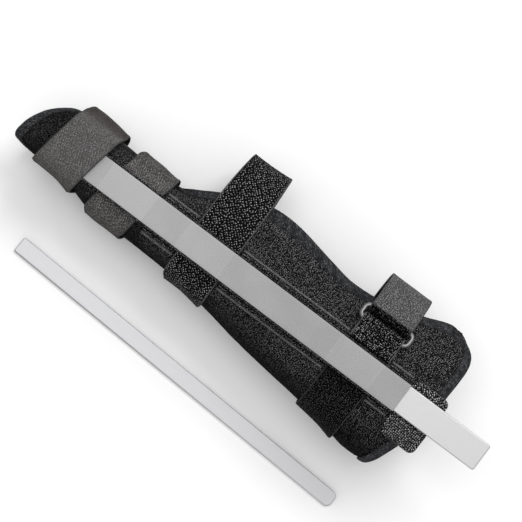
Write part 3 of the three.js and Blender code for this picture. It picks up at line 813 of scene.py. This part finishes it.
def lining():
    _, _, x, turn, full = body_grid(120, 80, 0.35)
    base = wrap_points(x, turn, 0)
    inner = wrap_points(x, turn, LINING[0] + LINING_RIPPLE * ripple(base, 16, 21))
    outer = wrap_points(x, turn, LINING[1])
    piece = slab_object("lining_cloth", outer, inner, "lining", full)
    finish_piece(piece, "lining")


def rim_path():
    """Places round the body's rim with the direction inwards across the panel at each."""
    u, v = (np.linspace(0, 1, steps, endpoint=False) for steps in RIM_STEPS)
    sides = [(u, 0, 0, 1), (1, v, -1, 0), (1 - u, 1, 0, -1), (0, 1 - v, 1, 0)]
    return np.concatenate([np.stack(np.broadcast_arrays(*side)) for side in sides], axis=1)


def lip_points(rim, inset, lift):
    """Points at a lift and a distance in from the rim, measured over the panel."""
    u, v, in_u, in_v = rim
    x, turn = body_place(u + in_u * inset / BODY_LENGTH, v + in_v * inset / BODY_GIRTH)
    return wrap_points(x, turn, lift)


def rim_frame():
    """The rim's places and middle line, and unit vectors inwards and out of the cloth."""
    rim = rim_path()
    inner, middle, outer = (
        lip_points(rim, 0, lift) for lift in (LINING[0], (COVER[1] + LINING[0]) / 2, COVER[1]))
    along = unit(np.roll(middle, -3, axis=0) - np.roll(middle, 3, axis=0))
    out = square_to(outer - inner, along)
    inwards = np.cross(out, along)
    inside = lip_points(rim, OUTER_LIP[0][0], COVER[1])
    sign = np.sign(np.einsum("ij,ij->i", inside - outer, inwards))
    return rim, middle, inwards * sign[:, None], out


def edge_binding():
    """The bound tape: rounded over the rim, with a lip lying on each face."""
    rim, middle, inwards, out = rim_frame()
    half = (COVER[1] - LINING[0]) / 2 + LIP_HEIGHT
    columns = [lip_points(rim, inset, COVER[1] + height) for inset, height in OUTER_LIP]
    for angle in np.linspace(90, -90, 9) * DEGREE:
        columns.append(middle - inwards * cos(angle) * BINDING_OVERHANG
                       + out * sin(angle) * half)
    columns += [lip_points(rim, inset, LINING[0] - height) for inset, height in INNER_LIP]
    sections = np.stack(columns, axis=1)
    cloth = np.zeros(sections.shape)
    cloth[..., 0] = reach_along(middle)[:, None]
    cloth[..., 1] = np.linspace(0, BINDING_GIRTH, len(columns))
    piece = swept_object("edge_binding_tape", sections, "binding_tape", cloth=cloth)
    finish_piece(piece, "edge_binding")


def binding_stitches():
    rim, _, _, out = rim_frame()
    runs = [("outer", COVER[1] + 1.0, out), ("inner", LINING[0] - LIP_HEIGHT, -out)]
    for name, lift, ups in runs:
        sew(f"binding_stitches_{name}", lip_points(rim, 2.2, lift), ups, BINDING_STITCH,
            "dark_thread")


# --- pockets and stays

def strip(node, kind, look, span, sides, lifts, counts, rim, surface=roof_points,
          wave=0.0, corner=0.0):
    """A strip of cloth lying on the roof or the floor between two X and two Y."""
    half = (span[1] - span[0]) / 2
    s, s_full = edge_samples(counts[0], 2 * half, rim)
    t, t_full = edge_samples(counts[1], abs(sides[1] - sides[0]), rim)
    x, y = np.meshgrid(mix(*span, s), mix(*sides, t), indexing="ij")
    if corner:
        from_side = np.minimum(y - min(sides), max(sides) - y)
        short = np.clip(corner - from_side, 0, corner)
        drawn_in = corner - np.sqrt(corner ** 2 - short ** 2)
        middle = sum(span) / 2
        x = middle + (x - middle) * (half - drawn_in) / half
    top = lifts[1] + (wave * ripple(points_of(x, y, 0), 6, 31) if wave else 0)
    piece = slab_object(f"{node}_{kind}", surface(x, y, lifts[0]), surface(x, y, top), look,
                        np.minimum.outer(s_full, t_full))
    finish_piece(piece, node)


def level_roof(x, y, lift):
    """Points level across the roof at one lift, as cloth drawn flat over the stay."""
    return points_of(x, y, roof_points(x, np.zeros_like(x), lift)[..., 2])


def pocket():
    strip("pocket_base", "cloth", "pocket_pile", POCKET_SPAN,
          (-POCKET_HALF, POCKET_HALF), POCKET_BASE, (110, 14), 0.3)
    strip("pocket_window", "film", "window_film", POCKET_SPAN,
          (-WINDOW_HALF, WINDOW_HALF), POCKET_ROOF, (120, 10), 0.25, level_roof)
    for place, side in (("ulnar", -1), ("radial", 1)):
        pocket_wall(place, side)
        for run, span in TAPE_RUNS.items():
            seam_tape(f"{place}_{run}", side, span)


def pocket_wall(place, side):
    """The pocket's side wall: a folded seam that stands from the base to the window's level."""
    x = np.linspace(*POCKET_SPAN, 160)
    inner = side * WALL_INNER
    outer = side * POCKET_HALF
    foot = roof_points(x, inner, POCKET_WALL_FOOT)[:, 2]
    top = roof_points(x, 0, POCKET_ROOF[1])[:, 2]
    middle = (inner + outer) / 2
    outline = [(inner, 0, 0), (inner, 1, -0.4), (mix(inner, middle, 0.4), 1, -0.1), (middle, 1, 0),
               (mix(outer, middle, 0.4), 1, -0.1), (outer, 1, -0.4), (outer, 0, 0)]
    sections = np.stack([points_of(x, y, mix(foot, top, tall) + drop)
                         for y, tall, drop in outline], axis=1)
    wall = swept_object(f"pocket_side_{place}_cloth", sections, "pocket_pile", False,
                        cloth_places(sections))
    finish_piece(wall, f"pocket_side_{place}")


def seam_tape(place, side, span):
    """A tape sewn along the pocket's side, with a stitched cord along its outer edge."""
    sides = (side * TAPE_SIDES[0], side * TAPE_SIDES[1])
    steps = int(span[1] - span[0])
    strip(f"seam_tape_{place}", "cloth", "seam_pile", span, sides, SEAM_TAPE,
          (steps, 8), 0.4, wave=0.1)
    x = np.linspace(span[0] + 0.2, span[1] - 0.2, steps * 2)
    middle = roof_points(x, side * SEAM_CORD_Y, SEAM_CORD)
    above = roof_points(x, side * SEAM_CORD_Y, SEAM_CORD + 1) - middle
    beside = np.cross(above, (1, 0, 0))
    wide, tall = SEAM_CORD_HALF
    sections = np.stack([middle + beside * cos(angle) * wide + above * sin(angle) * tall
                         for angle in np.arange(8) * pi / 4], axis=1)
    cord = swept_object(f"seam_cord_{place}", sections, "seam_cord", False,
                        cloth_places(sections))
    finish_piece(cord)
    sew(f"seam_stitches_{place}", middle + above * 0.3, above, CORD_STITCH, "thread",
        CORD_SLANT)


def tongue():
    strip("pocket_tongue", "cloth", "tongue_webbing", TONGUE_SPAN, TONGUE_SIDES,
          TONGUE, (44, 64), 0.6, wave=0.15, corner=3.5)
    strip("tongue_hook", "tape", "pale_hook_tape", TONGUE_HOOK_SPAN,
          TONGUE_HOOK_SIDES, TONGUE_HOOK, (20, 12), 0.35)


def bar_sections(length, width, thickness, start_corner, end_corner, lean=0.0):
    """Closed outlines of a flat bar, from its underside to its top, with rounded arrises.

    lean makes the arris wider along the -Y side and narrower along the +Y side.
    """
    far = length - end_corner
    corners = [(far, -1, end_corner, -90), (far, 1, end_corner, 0),
               (start_corner, 1, start_corner, 90), (start_corner, -1, start_corner, 180)]
    small = STAY_BEVEL * 0.3
    levels = [(0, STAY_BEVEL), (small, small), (STAY_BEVEL, 0), (thickness - STAY_BEVEL, 0),
              (thickness - small, small), (thickness, STAY_BEVEL)]
    rings = []
    for z, inset in levels:
        ring = []
        for x, side, radius, start in corners:
            y = side * (width / 2 - radius)
            for angle in np.linspace(start, start + 90, 13) * DEGREE:
                reach = radius - inset * (1 - lean * sin(angle))
                ring.append((x + reach * cos(angle), y + reach * sin(angle), z))
        rings.append(ring)
    return np.array(rings, float)


def turned(points, first, second, angle):
    """Points turned through an angle, from their first coordinate towards their second."""
    result = points.copy()
    a, b = points[..., first], points[..., second]
    result[..., first] = a * cos(angle) - b * sin(angle)
    result[..., second] = a * sin(angle) + b * cos(angle)
    return result


def bar_object(name, sections, look):
    piece = swept_object(name, sections, look, closed=False)
    for polygon in piece.data.polygons:
        polygon.use_smooth = len(polygon.vertices) == 4
    return piece


def stays():
    rings = turned(bar_sections(**STAY), 0, 2, atan(ROOF_SLOPE))
    bar = bar_object("dorsal_stay_bar", rings + roof_points(STAY_START, 0, STAY_LIFT),
                     "brushed_aluminium")
    finish_piece(bar, "dorsal_stay", "dorsal_stay_body")
    rings = turned(bar_sections(**LOOSE_STAY), 0, 1, LOOSE_TURN * DEGREE)
    bar = bar_object("palmar_stay_bar", rings + LOOSE_PLACE, "blue_aluminium")
    # The faces on the -Y side get the painted shade and reflection of the edge.
    bar.data.materials.append(LOOKS["painted_shade_edge"])
    for polygon in bar.data.polygons:
        if polygon.normal.y < -0.3:
            polygon.material_index = 1
    finish_piece(bar, "palmar_stay", "palmar_stay_body")


def palmar_pocket():
    strip("palmar_pocket", "cloth", "pocket_pile", SLEEVE_SPAN,
          (-SLEEVE_HALF, SLEEVE_HALF), PALMAR_POCKET, (90, 10), 0.6, floor_points)


# --- straps

def sewn_lift(turn, raised):
    """Lift of a sewn strap's inner face, over the roof and round the little-finger side."""
    size = np.abs(turn) / DEGREE
    side = np.where((np.asarray(turn) > 0) | raised, OVER_BINDING, SEWN_STRAP)
    roof = mix(SEWN_STRAP, side, smooth_step(40, 56, size))
    low = mix(roof, PALMAR_STRAP, smooth_step(75, 125, size))
    return mix(RAISED_STRAP, low, smooth_step(27, 64, size)) if raised else low


def flap_lift(turn, raised):
    return mix(sewn_lift(turn, raised), FLAP, smooth_step(85, 145, np.abs(turn) / DEGREE))


def drawn_width(turn):
    """The share of its width a strap keeps at each turn: it is drawn in where it bends most."""
    size = np.abs(turn) / DEGREE
    return 1 - DRAWN_IN * smooth_step(52, 88, size) * smooth_step(140, 100, size)


def strap_object(name, strap, turns, lift_of, thickness, look, counts, rounding, trim=0.0):
    """A length of strap between two turns, at the lift given for each turn."""
    half = strap["width"] / 2 - trim
    rough_radius = radial_half_width(strap["centre"]) + 14
    length = abs(turns[1] - turns[0]) * DEGREE * rough_radius
    rim = thickness * 0.5
    s, s_full = edge_samples(counts[0], length, rim, *rounding)
    t, t_full = edge_samples(counts[1], 2 * half, rim)
    turn = (mix(*turns, s) * DEGREE)[:, None]
    side = mix(-half, half, t)[None, :]
    x = strap["centre"] + strap["slant"] * np.sin(turn) + side * drawn_width(turn)
    turn, x = np.broadcast_arrays(turn, x)
    girth_x = np.maximum(x, strap.get("widest_from", TIP_X))
    low = lift_of(turn, strap["raised"]) + np.zeros(x.shape)
    wave = 0.1 * ripple(wrap_points(x, turn, low), 9, strap["centre"])
    bead = selvedge_rise(half - np.abs(side)) if thickness == STRAP_THICKNESS else 0
    inner = wrap_points(x, turn, low + 0.02, girth_x)
    outer = wrap_points(x, turn, low + thickness + np.minimum(wave, 0.08) + bead, girth_x)
    return slab_object(name, inner, outer, look, np.minimum.outer(s_full, t_full))


def selvedge_rise(edge):
    """How far the firmer selvedge stands above the loops, by distance from the strap's side."""
    return SELVEDGE_RISE * (1 - smooth_step(0.9, 1.6, edge)) - 0.1


def finish_flap(flap, node, fold):
    """Hides the flap's part and bakes the cloth's placement into its mesh.
    """
    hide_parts(node)
    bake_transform(flap)


def hook_patch(name, strap, body, node):
    piece = strap_object(name, strap, HOOK_TURNS, lambda *_: HOOK_PATCH[0],
                         HOOK_PATCH[1] - HOOK_PATCH[0], "hook_tape", (20, 18), (True, True),
                         1.0)
    finish_piece(piece, node, body)


def strap_pieces(strap):
    name = strap["name"]
    parts = [("strap", SEWN_END, sewn_lift, 150), ("flap", FLAP_END, flap_lift, 100)]
    sewn, flap = (
        strap_object(f"{name}_{part}_cloth", strap, (strap["fold"], end), lift_of,
                     STRAP_THICKNESS, strap["cloth"], (steps, 48), (False, True))
        for part, end, lift_of, steps in parts
    )
    finish_piece(sewn, f"{name}_strap")
    angle = strap["fold"] * DEGREE
    fold = wrap_points(strap["centre"], angle, flap_lift(angle, strap["raised"]))
    finish_flap(flap, f"{name}_strap_flap", fold)
    hook_patch(f"{name}_hook_tape", strap, f"{name}_flap", f"{name}_strap_hook")


# --- wrist ring and strap

def ring_frame():
    """Origin and axes of the wrist ring: along its long side, across it and out of the splint."""
    origin, ahead, behind, beside, opposite = (
        roof_points(WRIST_CENTRE + dx, RING_Y + dy, RING_LIFT)
        for dx, dy in ((0, 0), (5, 0), (-5, 0), (0, 3), (0, -3))
    )
    along = unit(ahead - behind)
    out = unit(np.cross(along, beside - opposite))
    return origin, along, np.cross(out, along), out


def on_ring(x, y, z):
    origin, along, side, out = ring_frame()
    x, y, z = (np.asarray(value, float)[..., None] for value in np.broadcast_arrays(x, y, z))
    return origin + along * x + side * y + out * z


def wrist_ring():
    half_long = RING_LENGTH / 2 - RING_WIRE / 2 - RING_CORNER
    half_short = RING_PITCH / 2 - RING_CORNER
    sections = []
    for along_sign, across_sign, start in ((1, 1, 0), (-1, 1, 90), (-1, -1, 180), (1, -1, 270)):
        for angle in np.linspace(start, start + 90, 13) * DEGREE:
            turn = np.arange(16) * pi / 8
            reach = RING_CORNER + np.cos(turn) * RING_WIRE / 2
            sections.append(on_ring(along_sign * half_long + cos(angle) * reach,
                                    across_sign * half_short + sin(angle) * reach,
                                    np.sin(turn) * RING_WIRE / 2))
    piece = swept_object("wrist_ring_wire", np.array(sections), "steel_wire")
    finish_piece(piece, "wrist_ring", "ring")


def band_grid(lines, thickness, rise):
    """Inner and outer grids of a band along matching lines of points, one for each X."""
    middle = np.stack(lines, axis=1)
    ahead = np.gradient(middle, axis=0)
    out = unit(np.stack([np.zeros(middle.shape[:2]), ahead[..., 2], -ahead[..., 1]], axis=2))
    full = (thickness / 2 + rise)[None, :, None]
    return middle + out * thickness / 2, middle - out * full


def smooth_line(points, count):
    """A denser line through points, with rounded bends."""
    points = np.asarray(points, float)
    knots = reach_along(points)
    slopes = np.gradient(points, knots, axis=0)
    return smooth_values(knots, points, slopes, np.linspace(0, knots[-1], count))


def fold_line():
    """The wrist strap's fold over the ring's far bar, as (y, z) in the ring's frame."""
    bar = RING_PITCH / 2
    points = [(bar + 3, -FOLD_RADIUS)]
    for k in range(9):
        angle = (-90 - k * 22.5) * DEGREE
        play = RING_TILT_PLAY if k > 4 else 0
        points.append((bar + cos(angle) * FOLD_RADIUS, sin(angle) * FOLD_RADIUS + play))
    return points


def wrist_line(dx):
    x = WRIST_CENTRE + dx
    line = []
    for turn in range(WRIST_FIRST_TURN, WRIST_RING_TURN - 361, -8):
        side = turn if abs(turn) <= 180 else turn + 360
        lift = sewn_lift(side * DEGREE, False) + STRAP_THICKNESS / 2
        line.append(wrap_points(x, turn * DEGREE, lift))
    line.extend(on_ring(dx, y, z) for y, z in fold_line())
    return smooth_line(line, 240)


def wrist_end_line(dx):
    x = WRIST_CENTRE + dx
    y, z = fold_line()[-1]
    line = [on_ring(dx, y, z), on_ring(dx, y + 0.9, z)]
    for turn in range(WRIST_RING_TURN, FLAP_END + 1, 9):
        low = float(sewn_lift(turn * DEGREE, False)) + 2.2 + 0.35
        lift = mix(low, FLAP, float(smooth_step(95, 150, turn))) + STRAP_THICKNESS / 2
        line.append(wrap_points(x, turn * DEGREE, lift, WRIST_CENTRE + WRIST_WIDTH / 2))
    return smooth_line(line, 110)


def band_object(name, line_of, look, thin_ends):
    t, t_full = edge_samples(44, WRIST_WIDTH, STRAP_THICKNESS * 0.5)
    places = mix(-WRIST_WIDTH / 2, WRIST_WIDTH / 2, t)
    rise = selvedge_rise(WRIST_WIDTH / 2 - np.abs(places))
    inner, outer = band_grid([line_of(place) for place in places], STRAP_THICKNESS, rise)
    full = np.tile(t_full[None, :], (inner.shape[0], 1))
    full[thin_ends] *= 0.35
    return slab_object(name, outer, inner, look, full)


def wrist_pieces():
    wrist_ring()
    anchor()
    strap = band_object("wrist_strap_cloth", wrist_line, "coarse_webbing", [0])
    finish_piece(strap, "wrist_strap")
    end = band_object("wrist_strap_end_cloth", wrist_end_line, "smooth_webbing", [-1])
    finish_flap(end, "wrist_strap_end", on_ring(0, *fold_line()[-1]))
    patch = {"centre": WRIST_CENTRE, "width": WRIST_WIDTH, "slant": 0, "raised": False}
    hook_patch("wrist_hook_tape", patch, "wrist_end", "wrist_strap_hook")


def anchor_line(dx):
    """The anchor strap: down beside the pocket, round the near bar and back on itself."""
    bar = -RING_PITCH / 2
    x = WRIST_CENTRE + dx
    lower = [roof_points(x, y, SEWN_STRAP + STRAP_THICKNESS / 2)
             for y in np.linspace(ANCHOR_START_Y, RING_Y - 6.5, 4)]
    loop = [on_ring(dx, bar + cos(a) * FOLD_RADIUS, sin(a) * FOLD_RADIUS)
            for a in np.linspace(-80, 95, 9) * DEGREE]
    upper = [roof_points(x, y, SEWN_STRAP + STRAP_THICKNESS * 1.5 + 0.1)
             for y in np.linspace(RING_Y - 8.5, ANCHOR_START_Y + 0.5, 3)]
    return smooth_line(lower + loop + upper, 90)


def anchor():
    piece = band_object("wrist_anchor_cloth", anchor_line, "anchor_webbing", [0, -1])
    finish_piece(piece, "wrist_anchor")


# --- stage

def stage_floor():
    half = FLOOR_HALF
    corners = [(-half, -half, 0), (half, -half, 0), (half, half, 0), (-half, half, 0)]
    floor = make_object("floor", corners, [(0, 1, 2, 3)], "floor_paper")


def soft_light(name, place, size, power):
    light = bpy.data.lights.new(name, "AREA")
    light.shape = "DISK"
    light.size = size
    light.energy = power
    lamp = add_object(name, light)
    lamp.location = place
    lamp.rotation_euler = (Vector(LIGHT_TARGET) - Vector(place)).to_track_quat("-Z", "Y").to_euler()


def studio():
    stage_floor()
    world = bpy.data.worlds.new("studio")
    world.use_nodes = True
    background = world.node_tree.nodes["Background"]
    background.inputs["Color"].default_value = (1, 1, 1, 1)
    background.inputs["Strength"].default_value = 0.72
    bpy.context.scene.world = world
    bpy.context.scene.view_settings.view_transform = "Standard"
    soft_light("key", (0.15, 1.0, 1.25), 0.7, 11)
    soft_light("top", (-0.2, 0.2, 1.7), 1.0, 6)


def camera():
    azimuth = VIEW_AZIMUTH * DEGREE
    elevation = VIEW_ELEVATION * DEGREE
    centre = (Vector(VIEW_CENTRE) + Vector(SHIFT)) * MM
    away = Vector((
        sin(azimuth) * cos(elevation),
        -cos(azimuth) * cos(elevation),
        sin(elevation),
    ))
    data = bpy.data.cameras.new("camera")
    data.sensor_width = 36
    data.lens = 36 * VIEW_DISTANCE / (VIEW_FIELD * MM)
    holder = add_object("camera", data)
    holder.location = centre + away * VIEW_DISTANCE
    holder.rotation_euler = (-away).to_track_quat("-Z", "Y").to_euler()
    bpy.context.scene.camera = holder


# --- the whole splint

def build():
    camera()
    studio()
    outer_cover()
    foam_pad()
    lining()
    edge_binding()
    binding_stitches()
    pocket()
    tongue()
    stays()
    palmar_pocket()
    for strap in STRAPS:
        strap_pieces(strap)
    wrist_pieces()


build()
